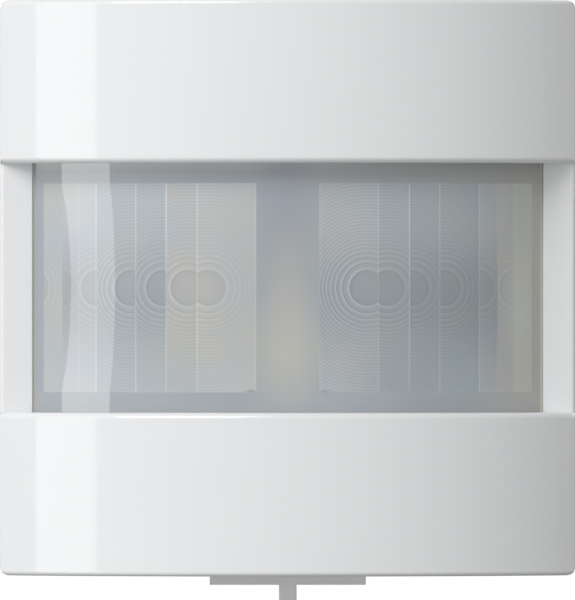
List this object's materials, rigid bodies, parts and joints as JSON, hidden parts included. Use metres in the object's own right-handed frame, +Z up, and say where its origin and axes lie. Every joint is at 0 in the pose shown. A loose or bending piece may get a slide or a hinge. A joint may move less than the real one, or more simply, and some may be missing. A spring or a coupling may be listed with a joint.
{
  "type": "motion sensor",
  "caption": "Square flush-mount motion sensor head with curved gloss bands, a translucent segmented lens, rear adjusters, a mode slide and a plug for a wall insert.",
  "frame": {"origin": "centre of the rear housing's flat seating face", "axes": "+X to the right seen from the front, +Y towards the wall, +Z up"},
  "size_m": [0.055, 0.0338, 0.0578],
  "materials": {
    "cover_white_gloss": "polished white",
    "lens_milky": "milky translucent, smooth outside and grooved inside",
    "inner_white": "satin white",
    "guide_warm_clear": "clear, pale yellow",
    "led_clear": "clear resin",
    "chip_black": "moulded epoxy",
    "tin_can": "tin plated",
    "filter_glass": "polished dark filter",
    "board_green": "solder mask",
    "capacitor_sleeve": "shrunk sleeve",
    "screw_steel": "zinc plated",
    "housing_grey": "fine moulded texture",
    "slide_grey": "fine moulded texture",
    "trimmer_blue": "satin",
    "rotor_white": "satin",
    "plug_black": "fine moulded texture",
    "pin_gold": "gold plated",
    "clip_steel": "rolled spring steel"
  },
  "bodies": {
    "head": {"front_cover": "cover_white_gloss", "fresnel_lens": "lens_milky", "lens_retainer": "inner_white", "sensor_carrier": "inner_white", "light_guide": "guide_warm_clear", "status_led": "led_clear", "brightness_sensor": "chip_black", "sensor_holder_left": "inner_white", "sensor_holder_right": "inner_white", "heat_sensor_left": "tin_can", "heat_sensor_right": "tin_can", "heat_sensor_window_left": "filter_glass", "heat_sensor_window_right": "filter_glass", "circuit_board": "board_green", "microcontroller": "chip_black", "voltage_regulator": "chip_black", "clock_crystal": "tin_can", "large_capacitor": "capacitor_sleeve", "small_capacitor_left": "capacitor_sleeve", "small_capacitor_right": "capacitor_sleeve", "board_screw_1": "screw_steel", "board_screw_2": "screw_steel", "board_screw_3": "screw_steel", "board_screw_4": "screw_steel", "rear_housing": "housing_grey", "mode_switch_body": "tin_can", "sensitivity_trimmer_body": "trimmer_blue", "brightness_trimmer_body": "trimmer_blue", "time_trimmer_body": "trimmer_blue", "plug_block": "plug_black", "contact_pin_1": "pin_gold", "contact_pin_2": "pin_gold", "contact_pin_3": "pin_gold", "contact_pin_4": "pin_gold", "contact_pin_5": "pin_gold", "contact_pin_6": "pin_gold", "contact_pin_7": "pin_gold", "contact_pin_8": "pin_gold", "retaining_clip_left": "clip_steel", "retaining_clip_right": "clip_steel"},
    "mode_selector": {"mode_slide": "slide_grey", "mode_switch_knob": "chip_black"},
    "sensitivity_rotor": {"sensitivity_trimmer_rotor": "rotor_white"},
    "brightness_rotor": {"brightness_trimmer_rotor": "rotor_white"},
    "time_rotor": {"time_trimmer_rotor": "rotor_white"}
  },
  "joints": [
    {"name": "mode_slide_travel", "type": "slide", "parent": "head", "child": "mode_selector", "axis": [1, 0, 0], "range_m": [-0.004, 0.004]},
    {"name": "sensitivity_turn", "type": "hinge", "parent": "head", "child": "sensitivity_rotor", "pos_m": [-0.013, 0, 0.014], "axis": [0, 1, 0], "range_deg": [-130, 130]},
    {"name": "brightness_turn", "type": "hinge", "parent": "head", "child": "brightness_rotor", "pos_m": [0, 0, 0.014], "axis": [0, 1, 0], "range_deg": [-130, 130]},
    {"name": "time_turn", "type": "hinge", "parent": "head", "child": "time_rotor", "pos_m": [0.013, 0, 0.014], "axis": [0, 1, 0], "range_deg": [-130, 130]}
  ]
}
